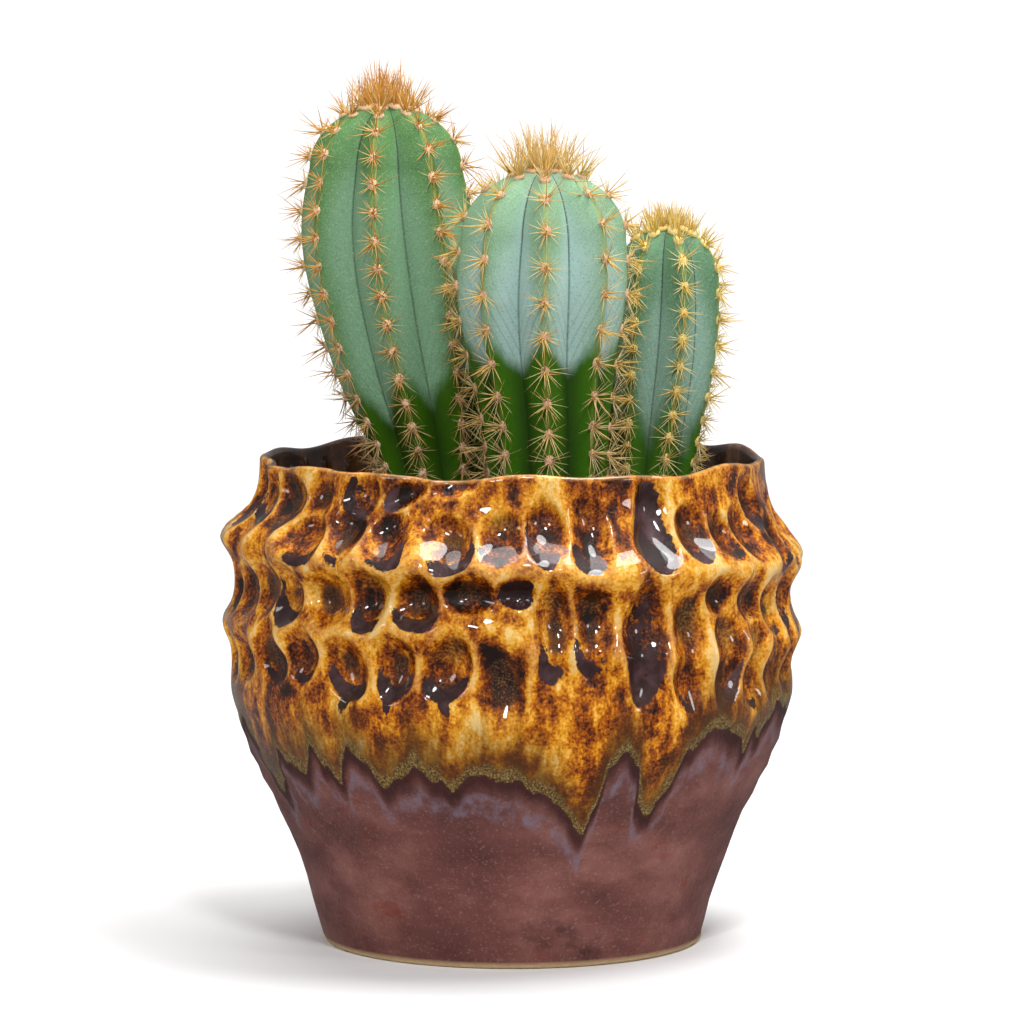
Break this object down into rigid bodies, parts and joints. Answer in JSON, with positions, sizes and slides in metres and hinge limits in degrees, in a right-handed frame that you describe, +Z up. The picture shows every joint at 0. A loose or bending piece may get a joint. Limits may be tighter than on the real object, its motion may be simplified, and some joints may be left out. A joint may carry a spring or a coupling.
{
  "type": "potted blue torch cactus",
  "caption": "Blue-green ribbed columnar cactus with golden spines, in a thumb-pressed stoneware cover pot with amber glaze running over a matt brown body.",
  "frame": {"origin": "centre of the cover pot's foot, on the surface it stands on", "axes": "+Z up, -Y towards the front, where all three columns show and the longest glaze run hangs"},
  "size_m": [0.2246, 0.2246, 0.3397],
  "materials": {
    "glazed_stoneware": "glossy amber glaze with dark pools over a satin maroon-brown body",
    "black_plastic": "matt black",
    "soil": "loose fibrous grains",
    "cactus_skin": "waxy blue-green bloom over green",
    "cactus_spines": "golden brown needles on felt pads"
  },
  "bodies": {
    "root": {"cover_pot": "glazed_stoneware", "nursery_pot": "black_plastic", "potting_soil": "soil", "tall_column": "cactus_skin", "tall_column_crown": "cactus_spines", "middle_column": "cactus_skin", "middle_column_crown": "cactus_spines", "short_column": "cactus_skin", "short_column_crown": "cactus_spines"}
  },
  "joints": []
}
